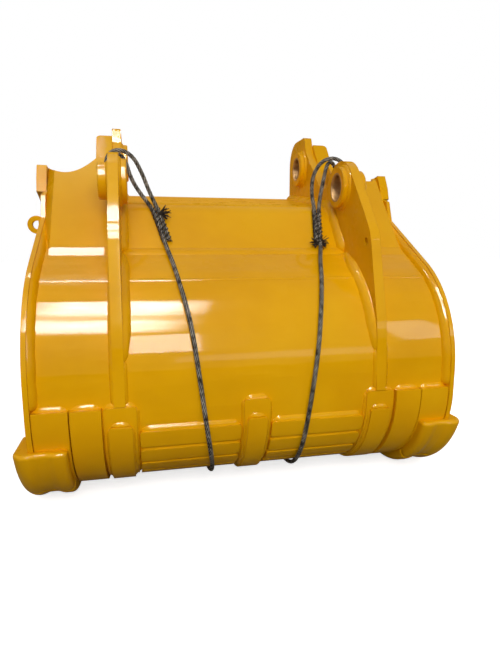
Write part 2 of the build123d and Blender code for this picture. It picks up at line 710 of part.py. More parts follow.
for number in range(TOOTH_COUNT):
    x = (number - (TOOTH_COUNT - 1) / 2) * tooth_pitch
    with BuildPart() as adapter:
        with BuildSketch(side(x - ADAPTER_W / 2)):
            Polygon(*adapter_side, align=None)
        extrude(amount=ADAPTER_W)
        fillet(adapter.edges().filter_by(Axis.X).group_by(Axis.Z)[-1], 14)
        with BuildSketch(across(x, body_front, nose_z)):
            Rectangle(ADAPTER_NOSE_W, NOSE_H)
        with BuildSketch(across(x, body_front + NOSE_L, nose_z)):
            Rectangle(ADAPTER_NOSE_W, NOSE_TIP_H)
        loft()
        # pocket for the lock's lug, open towards the nose's end in its upper half
        with BuildSketch(side(x + nose_half - LOCK_LUG - 1.5)):
            with Locations(lock_at):
                Circle(LOCK_R + 2)
            with Locations((lock_at[0] + NOSE_L / 2, lock_at[1] + LOCK_R / 2)):
                Rectangle(NOSE_L, LOCK_R + 2)
        extrude(amount=LOCK_LUG + 20, mode=Mode.SUBTRACT)
    save(adapter, f"adapter_{number + 1}")

    with BuildPart() as tip:
        rear_y = body_front + TIP_CLEAR
        with BuildSketch(across(x, rear_y, nose_z)):
            RectangleRounded(TIP_W, TIP_H, TIP_ROUND)
        extrude(amount=TIP_SOCKET)
        with BuildSketch(across(x, rear_y + TIP_SOCKET, nose_z)):
            RectangleRounded(TIP_W, TIP_H, TIP_ROUND)
        with BuildSketch(across(x, rear_y + TIP_L, nose_z - TIP_DROP)):
            RectangleRounded(TIP_EDGE_W, TIP_EDGE_H, TIP_EDGE_H / 3)
        loft()
        with BuildSketch(across(x, body_front, nose_z)):
            Rectangle(ADAPTER_NOSE_W + 2 * TIP_CLEAR, NOSE_H + 2 * TIP_CLEAR)
        with BuildSketch(across(x, body_front + NOSE_L + TIP_CLEAR, nose_z)):
            Rectangle(ADAPTER_NOSE_W + 2 * TIP_CLEAR, NOSE_TIP_H + 2 * TIP_CLEAR)
        loft(mode=Mode.SUBTRACT)
        with BuildSketch(side(x)):
            with Locations(lock_at):
                Circle(LOCK_R + LOCK_FIT)
        extrude(amount=TIP_W, mode=Mode.SUBTRACT)
    save(tip, f"tooth_tip_{number + 1}")

    lock_in = nose_half + TIP_CLEAR
    with BuildPart() as lock:
        with BuildSketch(side(x + lock_in)):
            with Locations(lock_at):
                Circle(LOCK_R)
        extrude(amount=TIP_W / 2 - lock_in)
        with BuildSketch(side(x + lock_in)):
            with Locations(lock_at):
                Circle(LOCK_R)
            with Locations((lock_at[0], lock_at[1] + LOCK_R)):
                Rectangle(4 * LOCK_R, 2 * LOCK_R, mode=Mode.SUBTRACT)
        extrude(amount=-LOCK_LUG)
        with BuildSketch(side(x + TIP_W / 2)):
            with Locations(lock_at):
                Rectangle(DRIVE, DRIVE)
        extrude(amount=-DRIVE_DEPTH, mode=Mode.SUBTRACT)
    save(lock, f"tooth_lock_{number + 1}")

# Lip shrouds between the adapters
with BuildPart() as lip_shrouds:
    shroud_w = tooth_pitch - ADAPTER_W - 2 * LIP_SHROUD_GAP
    for number in range(TOOTH_COUNT - 1):
        x = (number - (TOOTH_COUNT - 2) / 2) * tooth_pitch
        with BuildSketch(side(x - shroud_w / 2)):
            Polygon(
                (lip_front - 150, floor_z + LIP_T),
                (lip_front - 146, floor_z + LIP_T + 12),
                (lip_front - 60, floor_z + LIP_T + LIP_SHROUD_T),
                (lip_front + 20, floor_z + LIP_T + LIP_SHROUD_T),
                (lip_front + 86, floor_z + LIP_T / 2 + 6),
                (lip_front + 86, floor_z + LIP_T / 2 - 10),
                (lip_front + 20, floor_z - LIP_SHROUD_T),
                (lip_front - 100, floor_z - LIP_SHROUD_T),
                (lip_front - 126, floor_z),
                (lip_front - LIP_CHAMFER, floor_z),
                (lip_front + 1, floor_z + LIP_CHAMFER),
                (lip_front + 1, floor_z + LIP_T - LIP_CHAMFER),
                (lip_front - LIP_CHAMFER, floor_z + LIP_T),
                align=None,
            )
        extrude(amount=shroud_w)
save(lip_shrouds, "lip_shrouds")

# Side cutters on the side bars, with countersunk bolts and their nuts
bar_face = inside + BAR_INSIDE + BAR_W
cutter_face = bar_face + CUTTER_T
for hand, word in ((-1, "left"), (1, "right")):
    heads = [Location((hand * cutter_face, y - middle, z), (0, hand * 90, 0)) for y, z in bolt_row]
    with BuildPart() as side_cutter:
        with BuildSketch(side(bar_face if hand > 0 else -cutter_face)):
            Polygon(*cutter, align=None)
        extrude(amount=CUTTER_T)
        with Locations(*heads):
            CounterSinkHole(BOLT_D / 2 + BOLT_FIT, BOLT_HEAD / 2 + BOLT_FIT, 2 * CUTTER_T, 90)
    save(side_cutter, f"side_cutter_{word}")

with BuildPart() as cutter_bolts:
    for hand in (-1, 1):
        heads = [Location((hand * cutter_face, y - middle, z), (0, hand * 90, 0)) for y, z in bolt_row]
        with Locations(*heads):
            shank = CUTTER_T + BAR_W + NUT_T + BOLT_D / 4
            flush = (Align.CENTER, Align.CENTER, Align.MAX)
            Cylinder(BOLT_D / 2, shank, align=flush)
            Cone(BOLT_D / 2, BOLT_HEAD / 2, (BOLT_HEAD - BOLT_D) / 2, align=flush)
        nut_face = inside + BAR_INSIDE
        with BuildSketch(side(nut_face - NUT_T if hand > 0 else -nut_face)):
            with Locations(*bolt_row):
                RegularPolygon(NUT_W / 2, 6, major_radius=False)
        extrude(amount=NUT_T)
save(cutter_bolts, "cutter_bolts")

# Wire rope sling: an eye laid over each ear, the leg down the back, round the heel and along the ground
ROPE_D = 22.0
ROPE_ROUTE = [
    (440, 484, 1238), (459, 566, 1338), (479, 641, 1430), (468, 668, 1520), (472, 664, 1620),
    (520, 654, 1700), (596, 650, 1722), (662, 646, 1684), (659, 636, 1568), (659, 700, 1531),
    (659, 764, 1568), (659, 772, 1668), (612, 732, 1716), (562, 682, 1685), (540, 668, 1600),
    (522, 668, 1510), (503, 637, 1426), (482, 566, 1338), (463, 480, 1234), (420, 368, 1150),
    (375, 218, 1068), (327, 88, 909), (292, 22, 714), (240, 5, 392), (236, 89, 213),
    (244, 262, 72), (250, 480, 36), (252, 650, 12), (170, 780, 12), (25, 836, 12),
    (-120, 780, 12), (-192, 650, 12), (-190, 480, 36), (-184, 262, 72), (-206, 89, 213),
    (-238, 5, 392), (-276, 22, 714), (-300, 88, 909), (-336, 218, 1068), (-352, 368, 1150),
    (-379, 480, 1234), (-402, 566, 1338), (-434, 644, 1424), (-492, 668, 1498), (-540, 668, 1578),
    (-566, 684, 1680), (-612, 732, 1716), (-659, 772, 1668), (-659, 764, 1568), (-659, 700, 1531),
    (-659, 636, 1568), (-662, 646, 1684), (-596, 650, 1722), (-524, 656, 1690), (-478, 664, 1600),
    (-446, 664, 1510), (-410, 641, 1430), (-379, 566, 1338), (-358, 496, 1254),
]
route = [Vector(x, y - middle, z) for x, y, z in ROPE_ROUTE]
bends = []
for before, point, after in zip(route, route[1:], route[2:]):
    turn = (point - before).get_angle(after - point)
    shorter = min((point - before).length, (after - point).length)
    bends.append(0.45 * shorter / tan(radians(turn / 2)))
with BuildPart() as sling_rope:
    with BuildLine() as lay:
        FilletPolyline(*route, radius=bends)
    with BuildSketch(Plane(lay.line @ 0, z_dir=lay.line % 0)):
        Circle(ROPE_D / 2)
    sweep()
save(sling_rope, "sling_rope")
print("rope radii", [round(r) for r in bends])
print("rope length", round(sum(edge.length for edge in lay.edges())), "smallest radius", round(min(bends)))
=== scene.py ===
import json
import random
from math import asin, cos, degrees, hypot, pi, radians, sin, tan

import bpy
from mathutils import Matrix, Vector

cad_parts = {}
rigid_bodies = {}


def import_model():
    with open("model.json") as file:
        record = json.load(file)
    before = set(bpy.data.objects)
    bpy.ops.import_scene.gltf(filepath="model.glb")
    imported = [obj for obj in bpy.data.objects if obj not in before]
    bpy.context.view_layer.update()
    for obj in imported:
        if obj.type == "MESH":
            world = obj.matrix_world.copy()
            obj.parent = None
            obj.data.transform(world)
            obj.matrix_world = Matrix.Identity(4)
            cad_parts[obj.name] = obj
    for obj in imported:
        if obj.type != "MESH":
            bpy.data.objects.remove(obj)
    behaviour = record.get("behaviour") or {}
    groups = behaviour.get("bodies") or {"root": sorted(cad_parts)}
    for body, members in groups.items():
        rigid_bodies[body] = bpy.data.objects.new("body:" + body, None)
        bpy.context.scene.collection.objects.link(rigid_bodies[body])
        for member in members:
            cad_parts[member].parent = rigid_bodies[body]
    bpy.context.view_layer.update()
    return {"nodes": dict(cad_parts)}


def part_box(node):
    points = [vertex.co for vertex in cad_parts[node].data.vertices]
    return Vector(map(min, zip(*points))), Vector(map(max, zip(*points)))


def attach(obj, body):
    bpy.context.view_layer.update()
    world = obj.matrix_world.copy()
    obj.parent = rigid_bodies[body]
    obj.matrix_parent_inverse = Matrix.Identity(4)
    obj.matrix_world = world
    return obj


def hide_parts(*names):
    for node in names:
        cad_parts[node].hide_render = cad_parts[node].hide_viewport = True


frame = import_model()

# Lengths are millimetres on the drawing's datum: x from the middle, y from the rear edge of the
# side plates, z from the ground. at() turns them into the frame's metres.
MM = 0.001
MIDDLE = -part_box("side_plate_left")[0].y / MM


def at(x, y, z):
    return Vector((x, y - MIDDLE, z)) * MM


# Camera behind the bucket, a little to its left
LENS = 27.03
SENSOR = 36.0
CAMERA_PLACE = (-519, -2150, 1216)
CAMERA_TILT, CAMERA_PAN = 80.29, -12.53  # degrees

scene = bpy.context.scene
camera_data = bpy.data.cameras.new("camera")
camera_data.lens = LENS
camera_data.sensor_width = SENSOR
camera_data.sensor_fit = "AUTO"
camera = bpy.data.objects.new("camera", camera_data)
camera.location = at(*CAMERA_PLACE)
camera.rotation_euler = (radians(CAMERA_TILT), 0.0, radians(CAMERA_PAN))
scene.collection.objects.link(camera)
scene.camera = camera
scene.view_settings.view_transform = "Standard"

# Meshes


def add_mesh(name, verts, faces, smooth=True, crease=None):
    mesh = bpy.data.meshes.new(name)
    mesh.from_pydata([tuple(v) for v in verts], [], faces)
    mesh.validate()
    mesh.update()
    if smooth:
        mesh.polygons.foreach_set("use_smooth", [True] * len(mesh.polygons))
    if crease:
        mesh.set_sharp_from_angle(angle=radians(crease))
    obj = bpy.data.objects.new(name, mesh)
    scene.collection.objects.link(obj)
    return obj


def join_rings(faces, start, rings, count):
    """Faces of a closed tube through rings of count vertices, the first of which is start"""
    for base in range(start, start + (rings - 1) * count, count):
        for k in range(count):
            k2 = (k + 1) % count
            faces.append((base + k, base + k2, base + count + k2, base + count + k))
    faces.append(tuple(reversed(range(start, start + count))))
    last = start + (rings - 1) * count
    faces.append(tuple(range(last, last + count)))


# Lines and tubes, in metres
SPLINE_STEPS = 10  # points of the smooth line for each point of a route
SHORT_END = 0.3  # share of a step below which a line's last point is left out
CROWN = 0.7  # power that rounds the crown of each strand


def spline_points(points, name):
    """Points of the smooth NURBS line through a route"""
    curve = bpy.data.curves.new(name, "CURVE")
    curve.dimensions = "3D"
    spline = curve.splines.new("NURBS")
    spline.points.add(len(points) - 1)
    for knot, point in zip(spline.points, points):
        knot.co = (*point, 1.0)
    spline.order_u = 3
    spline.use_endpoint_u = True
    spline.resolution_u = SPLINE_STEPS
    curve.resolution_u = SPLINE_STEPS
    obj = bpy.data.objects.new(name, curve)
    scene.collection.objects.link(obj)
    bpy.context.view_layer.update()
    mesh = bpy.data.meshes.new_from_object(obj)
    line = [v.co.copy() for v in mesh.vertices]
    bpy.data.meshes.remove(mesh)
    bpy.data.objects.remove(obj)
    return line


def evenly(line, step):
    """The same line with points a step apart"""
    out, left = [line[0]], step
    for a, b in zip(line, line[1:]):
        run = (b - a).length
        done = 0.0
        while run - done >= left:
            done += left
            out.append(a.lerp(b, done / run))
            left = step
        left -= run - done
    if (out[-1] - line[-1]).length > step * SHORT_END:
        out.append(line[-1])
    return out


def frames(line):
    """A tangent and two cross directions at each point, without twist"""
    tangents = []
    for i in range(len(line)):
        a, b = line[max(i - 1, 0)], line[min(i + 1, len(line) - 1)]
        tangents.append((b - a).normalized())
    side = tangents[0].orthogonal().normalized()
    out = []
    for t in tangents:
        side = (side - t * side.dot(t)).normalized()
        out.append((t, side, t.cross(side)))
    return out


def tube(line, section):
    """Vertices and faces of a closed tube; section(s) is its outline at a length s, as (a, b) pairs"""
    verts, faces, s = [], [], 0.0
    for i, (point, (_, a, b)) in enumerate(zip(line, frames(line))):
        if i:
            s += (point - line[i - 1]).length
        outline = section(s)
        verts += [point + a * u + b * v for u, v in outline]
    join_rings(faces, 0, len(line), len(outline))
    return verts, faces


def round_section(radius, sides=5):
    """Section of a single wire"""
    turns = [2 * pi * k / sides for k in range(sides)]
    outline = [(radius * cos(turn), radius * sin(turn)) for turn in turns]
    return lambda s: outline


def lobed(radius, lobes, lay, dip, per_lobe):
    """Section of a rope: round strands side by side, turned once in each lay along the rope"""
    count = lobes * per_lobe

    def section(s):
        turn = 2 * pi * s / lay
        outline = []
        for k in range(count):
            angle = 2 * pi * k / count
            r = radius * (1 - dip * (1 - abs(sin(lobes * angle / 2)) ** CROWN))
            outline.append((r * cos(angle + turn), r * sin(angle + turn)))
        return outline

    return section


# The rope of the sling, from the splice on the right to the one on the left
ROPE_D = 0.022
ROPE_LAY = 0.125
ROPE_STRANDS = 6
ROPE_DIP = 0.2  # depth of the gaps between strands, as a share of the radius
ROPE_STEP = 0.0055
PER_LOBE = 5  # faces across one strand
ROPE_ROUTE = [
    (440, 484, 1238), (459, 566, 1338), (479, 641, 1430), (468, 668, 1520), (472, 664, 1620),
    (520, 654, 1700), (596, 650, 1722), (662, 646, 1684), (659, 636, 1568), (659, 700, 1531),
    (659, 764, 1568), (659, 772, 1668), (612, 732, 1716), (562, 682, 1685), (540, 668, 1600),
    (522, 668, 1510), (503, 637, 1426), (482, 566, 1338), (463, 480, 1234), (420, 368, 1150),
    (375, 218, 1068), (327, 88, 909), (292, 22, 714), (240, 5, 392), (236, 89, 213),
    (244, 262, 72), (250, 480, 36), (252, 650, 12), (170, 780, 12), (25, 836, 12),
    (-120, 780, 12), (-192, 650, 12), (-190, 480, 36), (-184, 262, 72), (-206, 89, 213),
    (-238, 5, 392), (-276, 22, 714), (-300, 88, 909), (-336, 218, 1068), (-352, 368, 1150),
    (-379, 480, 1234), (-402, 566, 1338), (-434, 644, 1424), (-492, 668, 1498), (-540, 668, 1578),
    (-566, 684, 1680), (-612, 732, 1716), (-659, 772, 1668), (-659, 764, 1568), (-659, 700, 1531),
    (-659, 636, 1568), (-662, 646, 1684), (-596, 650, 1722), (-524, 656, 1690), (-478, 664, 1600),
    (-446, 664, 1510), (-410, 641, 1430), (-379, 566, 1338), (-358, 496, 1254),
]

rope_line = evenly(spline_points([at(*p) for p in ROPE_ROUTE], "rope_route"), ROPE_STEP)
rope_section = lobed(ROPE_D / 2, ROPE_STRANDS, ROPE_LAY, ROPE_DIP, PER_LOBE)
rope = add_mesh("sling_rope_strands", *tube(rope_line, rope_section))
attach(rope, "bucket")
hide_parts("sling_rope")

# Drawing of the bucket, in millimetres and degrees
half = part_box("side_plate_right")[1].x / MM  # half of the width over the side plates
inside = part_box("side_plate_right")[0].x / MM  # and between them
FLOOR_Z = 80.0  # underside of the floor
SHELL_T = 25.0  # wrapper and floor
RIM = 36.0  # how far the side plates stand proud of the wrapper
HEEL_R = 420.0
BACK_RISE = 116.0  # flat stretch between the two arcs
BACK_R, BACK_TURN = 564.0, 60.0
SEAM_DROP = 40.0  # seam below the upper end of the back's arc
SLOPE, SLOPE_RUN = 30.0, 464.0
ROOF_ANGLE, ROOF_RUN = 5.0, 795.0
FLOOR_RUN, LIP_LENGTH, LIP_T = 1110.0, 340.0, 70.0
EAR_INSIDE, EAR_T = 594.0, 50.0
COLLAR_R, BOSS_R = 110.0, 90.0  # hubs, on the inner and on the outer face of an ear
HINGE_RUN, HINGE_RISE = 175.0, 258.0  # foot of the hinge box up the slope, and its bend above the foot
HINGE_ANGLE, HINGE_TOP_ANGLE, HINGE_BEND = 51.0, 8.0, 150.0
LINK_FORWARD, LINK_UP = 50.0, 348.0  # link pin from the foot of the hinge box
PIN_FORWARD, PIN_UP = 730.0, 200.0  # stick pin from the link pin
WING_TOP = 1645.0
WING_STEP, WING_SET = 45.0, 70.0  # the wing's bent end: across the bucket, and set back
TOP_RISE = 25.0  # top of the heel bases above the heel's centre
BASE_T = 18.0  # heel bases, and the straps on them
BAR_START, BAR_PITCH = 12.8, 14.0  # wear bars, in degrees round the heel

heel_y, heel_z = RIM + HEEL_R, FLOOR_Z + HEEL_R
back_y, back_z = RIM + BACK_R, heel_z + BACK_RISE
ear_outside = EAR_INSIDE + EAR_T
base_top = heel_z + TOP_RISE


def along(p, angle, d):
    return (p[0] + d * cos(radians(angle)), p[1] + d * sin(radians(angle)))


arc_end = (back_y - BACK_R * cos(radians(BACK_TURN)), back_z + BACK_R * sin(radians(BACK_TURN)))
slope_end = along(arc_end, SLOPE, SLOPE_RUN)
roof_front = (slope_end[0] + ROOF_RUN, slope_end[1] + ROOF_RUN * tan(radians(ROOF_ANGLE)))
hinge_foot = along(arc_end, SLOPE, HINGE_RUN)
hinge_bend = along(hinge_foot, HINGE_ANGLE, HINGE_RISE / sin(radians(HINGE_ANGLE)))
link_pin = (hinge_foot[0] + LINK_FORWARD, hinge_foot[1] + LINK_UP)
stick_pin = (link_pin[0] + PIN_FORWARD, link_pin[1] + PIN_UP)
flat_end = inside - WING_STEP
floor_top = FLOOR_Z + SHELL_T
lip_top = FLOOR_Z + LIP_T
lip_rear = heel_y + FLOOR_RUN
lip_front = lip_rear + LIP_LENGTH


def skin_line(step=14.0, flat_steps=8, slope_steps=32):
    """The wrapper's outer skin from the underside up to the roof: (y, z, normal y, normal z)"""
    rows = []
    n = int(HEEL_R * pi / 2 / step)
    for i in range(n + 1):
        a = pi / 2 * (1 - i / n)
        rows.append((heel_y - HEEL_R * cos(a), heel_z - HEEL_R * sin(a), -cos(a), -sin(a)))
    for i in range(1, flat_steps + 1):
        rows.append((heel_y - HEEL_R, heel_z + (back_z - heel_z) * i / flat_steps, -1.0, 0.0))
    n = int(BACK_R * radians(BACK_TURN) / step)
    for i in range(1, n + 1):
        a = radians(BACK_TURN) * i / n
        rows.append((back_y - BACK_R * cos(a), back_z + BACK_R * sin(a), -cos(a), sin(a)))
    for i in range(1, slope_steps + 1):
        y, z = along(arc_end, SLOPE, SLOPE_RUN * i / slope_steps)
        rows.append((y, z, -sin(radians(SLOPE)), cos(radians(SLOPE))))
    return rows


def hinge_line(step=12.0, bend_steps=9, top_steps=39):
    """Rear face of the hinge box, from its foot over the bend: (y, z, normal y, normal z)"""
    bend = HINGE_BEND * tan(radians((HINGE_ANGLE - HINGE_TOP_ANGLE) / 2))
    first = along(hinge_bend, HINGE_ANGLE + 180, bend)
    last = along(hinge_bend, HINGE_TOP_ANGLE, bend)
    centre = along(first, HINGE_ANGLE - 90, HINGE_BEND)
    rows = []
    n = int(hypot(first[0] - hinge_foot[0], first[1] - hinge_foot[1]) / step)
    for i in range(n + 1):
        y = hinge_foot[0] + (first[0] - hinge_foot[0]) * i / n
        z = hinge_foot[1] + (first[1] - hinge_foot[1]) * i / n
        rows.append((y, z, -sin(radians(HINGE_ANGLE)), cos(radians(HINGE_ANGLE))))
    for i in range(1, bend_steps + 1):
        t = radians(HINGE_ANGLE + 90 - (HINGE_ANGLE - HINGE_TOP_ANGLE) * i / bend_steps)
        rows.append((centre[0] + HINGE_BEND * cos(t), centre[1] + HINGE_BEND * sin(t), cos(t), sin(t)))
    top_run = (roof_front[0] - last[0]) / cos(radians(HINGE_TOP_ANGLE))
    for i in range(1, top_steps + 1):
        y, z = along(last, HINGE_TOP_ANGLE, top_run * i / top_steps)
        rows.append((y, z, -sin(radians(HINGE_TOP_ANGLE)), cos(radians(HINGE_TOP_ANGLE))))
    return rows


skin = skin_line()
hinge = hinge_line()
hinge_up = Vector((0, cos(radians(HINGE_ANGLE)), sin(radians(HINGE_ANGLE))))
hinge_out = Vector((0, -sin(radians(HINGE_ANGLE)), cos(radians(HINGE_ANGLE))))
slope_down = Vector((0, -cos(radians(SLOPE)), -sin(radians(SLOPE))))

# Weld beads. Their legs are in millimetres
BEAD_ARC = 5  # steps across a bead's face
BEAD_SUNK = 0.0016  # metres
WELD_CREASE = 48  # degrees
BEAD_END = 0.25  # thickness at a bead's ends, as a share of the whole
END_POWER = 0.6
END_REACH = 1.5  # length of an end, in legs
RIPPLE_PITCH = 0.42  # spacing of the ripples, in legs
EAR_FOOT_LEG, EAR_HINGE_LEG, HUB_LEG = 36, 34, 13
RIB_INNER_LEG, RIB_OUTER_LEG = 13, 15
HEAVY_FROM, LIGHT_TO = 718, 730  # heights where the heavy bead beside an ear takes over
WING_FOOT_LEG, WING_BENT_LEG, WING_SIDE_LEG = 30, 22, 17
RIM_LEG, HINGE_FOOT_LEG = 30, 26
PLATE_LEG, PLATE_TOP_LEG = 12, 20
BASE_LEG, STRAP_LEG, STRAP_TOP_LEG = 11, 10, 18
TOP_BAR_LEG, BAR_LEG, BAR_FACE_LEG = 22, 17, 15
BOWL_LEG, ADAPTER_LEG, FLOOR_LEG, EYE_LEG = 15, 15, 24, 9
PLATE_END = 70.0  # degrees round the heel where the plates' side beads end
PLATE_LAG = 2.5  # degrees from a strap's top to the start of its side beads
BEADED_BARS = 4  # wear bars with a bead, counted from the top
WING_PEAK = 58  # end of the bead along the wing's edge, above the wing's top

# How far beads stop short of edges and corners
FOOT_STOP, BASE_STOP, RIM_STOP, SLOPE_STOP, SEAM_STOP = 6, 4, 3, 4, 2
PLATE_STOP, STRAP_STOP, BAR_STOP, LIP_STOP = 8, 12, 10, 30
ADAPTER_REAR, ADAPTER_STOP = 249, 26  # both from the lip's front edge
ADAPTER_CLEAR = 8

groups = {}


def bead(group, path, leg_a, leg_b=None, run_out=1.0, ripple=0.05, bulge=0.16):
    """Weld along a corner: path rows are (point, direction up one face, direction up the other)"""
    leg_b = leg_b or leg_a
    verts, faces = groups.setdefault(group, ([], []))
    start = len(verts)
    total = sum((q[0] - p[0]).length for p, q in zip(path, path[1:]))
    reach = run_out * leg_a * MM * END_REACH
    taper = 1.0
    s = 0.0
    for i, (point, a, b) in enumerate(path):
        if i:
            s += (point - path[i - 1][0]).length
        if run_out:
            end = min(s, total - s)
            taper = BEAD_END + (1 - BEAD_END) * min(1.0, end / reach) ** END_POWER
        beat = 1 + ripple * (((s / (leg_a * MM * RIPPLE_PITCH)) % 1.0) - 0.5)
        la, lb = leg_a * MM * taper * beat, leg_b * MM * taper * beat
        swell = (a + b).normalized() * bulge * (la + lb) / 2
        verts.append(point - (a + b) * BEAD_SUNK)
        for k in range(BEAD_ARC + 1):
            t = k / BEAD_ARC
            verts.append(point + a * la * (1 - t) + b * lb * t + swell * sin(pi * t))
        verts.append(point + b * lb * 0.5 - a * BEAD_SUNK)
    join_rings(faces, start, len(path), BEAD_ARC + 3)


def straight(p, q, a, b, step=12.0):
    """Path rows along a straight corner between two datum points"""
    p, q = at(*p), at(*q)
    n = max(2, int((q - p).length / (step * MM)))
    a, b = Vector(a).normalized(), Vector(b).normalized()
    return [(p.lerp(q, i / n), a, b) for i in range(n + 1)]


def hub_ring(x, centre, radius, b_dir, step=10.0):
    """Path rows round a circle on a face of constant x"""
    n = int(2 * pi * radius / step)
    rows = []
    for i in range(n + 1):
        t = 2 * pi * i / n
        out = Vector((0, cos(t), sin(t)))
        point = at(x, centre[0] + radius * cos(t), centre[1] + radius * sin(t))
        rows.append((point, out, Vector(b_dir)))
    return rows


def up_the_skin(x, z0, z1, b_dir):
    """Path rows along the wrapper's skin between two heights"""
    rows = [row for row in skin if z0 <= row[1] <= z1]
    return [(at(x, y, z), Vector((0, ny, nz)), Vector(b_dir)) for y, z, ny, nz in rows]


def round_heel(x, start, end, radius, b_dir, step=12.0):
    """Path rows round the heel at a radius"""
    n = max(3, int(radians(end - start) * radius / step))
    rows = []
    for i in range(n + 1):
        t = radians(start + (end - start) * i / n)
        out = Vector((0, -cos(t), -sin(t)))
        point = at(x, heel_y - radius * cos(t), heel_z - radius * sin(t))
        rows.append((point, out, Vector(b_dir)))
    return rows


for hand, word in ((-1, "left"), (1, "right")):
    inward, outward = (-hand, 0, 0), (hand, 0, 0)
    ears, wings, rims = f"weld_ear_{word}", f"weld_wing_{word}", f"weld_rim_{word}"
    foot_z = hinge_foot[1] - FOOT_STOP
    # Ear to wrapper: heavy above, light beside the rib below
    bead(ears, up_the_skin(hand * EAR_INSIDE, HEAVY_FROM, foot_z, inward), EAR_FOOT_LEG, run_out=2.5)
    bead(ears, up_the_skin(hand * EAR_INSIDE, base_top + BASE_STOP, LIGHT_TO, inward), RIB_INNER_LEG)
    bead(ears, up_the_skin(hand * ear_outside, base_top + BASE_STOP, foot_z, outward), RIB_OUTER_LEG)
    # Ear to hinge box
    rows = [(at(hand * EAR_INSIDE, y, z), Vector((0, ny, nz)), Vector(inward)) for y, z, ny, nz in hinge]
    bead(ears, rows, EAR_HINGE_LEG, run_out=0.6)
    # Wing: its foot, the foot of its bent end, and its edge along the ear
    foot = straight((hand * ear_outside, *hinge_foot), (hand * flat_end, *hinge_foot), hinge_up, slope_down)
    bead(wings, foot, WING_FOOT_LEG, run_out=0.0, ripple=0.02, bulge=0.01)
    far_foot = along(hinge_foot, SLOPE, WING_SET / sin(radians(HINGE_ANGLE - SLOPE)))
    bent = straight((hand * flat_end, *hinge_foot), (hand * inside, *far_foot), hinge_up, slope_down)
    bead(wings, bent, WING_BENT_LEG)
    wing_reach = (WING_TOP + WING_PEAK - hinge_foot[1]) / sin(radians(HINGE_ANGLE))
    wing_peak = along(hinge_foot, HINGE_ANGLE, wing_reach)
    edge = straight((hand * ear_outside, *hinge_foot), (hand * ear_outside, *wing_peak), hinge_out, outward)
    bead(wings, edge, WING_SIDE_LEG)
    # Wrapper to the proud edge of the side plate
    rim = up_the_skin(hand * inside, base_top + RIM_STOP, slope_end[1] - SLOPE_STOP, inward)
    bead(rims, rim, RIM_LEG, run_out=0.5)
    # Hubs on both faces of the ear
    for centre in (link_pin, stick_pin):
        bead(ears, hub_ring(hand * EAR_INSIDE, centre, COLLAR_R, inward), HUB_LEG, run_out=0.0)
        bead(ears, hub_ring(hand * ear_outside, centre, BOSS_R, outward), HUB_LEG, run_out=0.0)

# Foot of the hinge box across the back
hinge_row = straight((-EAR_INSIDE, *hinge_foot), (EAR_INSIDE, *hinge_foot), hinge_up, slope_down)
bead("weld_hinge", hinge_row, HINGE_FOOT_LEG)

# Wrapper seam: a flat raised bead across the back, in three lengths between the ribs. In metres
SEAM_HALF_W, SEAM_H = 0.010, 0.0030
SEAM_LIFT, SEAM_SUNK, SEAM_BED = 0.0015, 0.0012, 0.004
SEAM_TILT = 0.02
SEAM_SIDES = 7
SEAM_RIPPLE, SEAM_BEAT = 0.05, 0.61

seam_z = arc_end[1] - SEAM_DROP
seam_turn = asin((seam_z - back_z) / BACK_R)
seam_y = back_y - BACK_R * cos(seam_turn)
seam_out = Vector((0, -cos(seam_turn), sin(seam_turn)))
seam_up = Vector((0, sin(seam_turn), cos(seam_turn)))
verts, faces = groups.setdefault("weld_seam", ([], []))
for x0, x1 in ((-inside, -ear_outside), (-EAR_INSIDE, EAR_INSIDE), (ear_outside, inside)):
    x0, x1 = x0 + SEAM_STOP, x1 - SEAM_STOP
    start = len(verts)
    row = straight((x0, seam_y, seam_z), (x1, seam_y, seam_z), seam_up, -seam_up)
    for i, (point, up, _) in enumerate(row):
        point = point + seam_out * SEAM_LIFT
        up = (up + seam_out * SEAM_TILT).normalized()
        beat = 1 + SEAM_RIPPLE * ((i * SEAM_BEAT) % 1.0 - 0.5)
        for k in range(SEAM_SIDES - 1):
            t = pi * k / (SEAM_SIDES - 2)
            rise = SEAM_H * beat * sin(t) - SEAM_SUNK
            verts.append(point + up * SEAM_HALF_W * beat * cos(t) + seam_out * rise)
        verts.append(point - seam_out * SEAM_BED)
    join_rings(faces, start, len(row), SEAM_SIDES)


def plate_welds(node, radius, leg, top_leg, sides=True):
    """Beads round a plate on the heel: along its top edge and, where asked, down both sides"""
    low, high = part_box(node)
    x0, x1, z = low.x / MM, high.x / MM, high.z / MM
    flanks = ((x0, -1), (x1, 1)) if sides else ()
    if z > heel_z:
        y = heel_y - radius
        up, out = (0, 0, 1), (0, -1, 0)
        top = straight((x0 + PLATE_STOP, y, z), (x1 - PLATE_STOP, y, z), up, out)
        bead("weld_heel_plates", top, top_leg, leg, run_out=0.8)
        for x, sign in flanks:
            rows = straight((x, y, z - PLATE_STOP), (x, y, heel_z), out, (sign, 0, 0))[:-1]
            rows += round_heel(x, 0.0, PLATE_END, radius, (sign, 0, 0))
            bead("weld_heel_plates", rows, leg)
    else:
        start = degrees(asin((heel_z - z) / (radius + BASE_T)))
        t = radians(start)
        out, up = (0, -cos(t), -sin(t)), (0, -sin(t), cos(t))
        p = (heel_y - radius * cos(t), heel_z - radius * sin(t))
        top = straight((x0 + STRAP_STOP, *p), (x1 - STRAP_STOP, *p), up, out)
        bead("weld_heel_plates", top, top_leg, leg, run_out=0.8)
        for x, sign in flanks:
            rows = round_heel(x, start + PLATE_LAG, PLATE_END, radius, (sign, 0, 0))
            bead("weld_heel_plates", rows, leg)


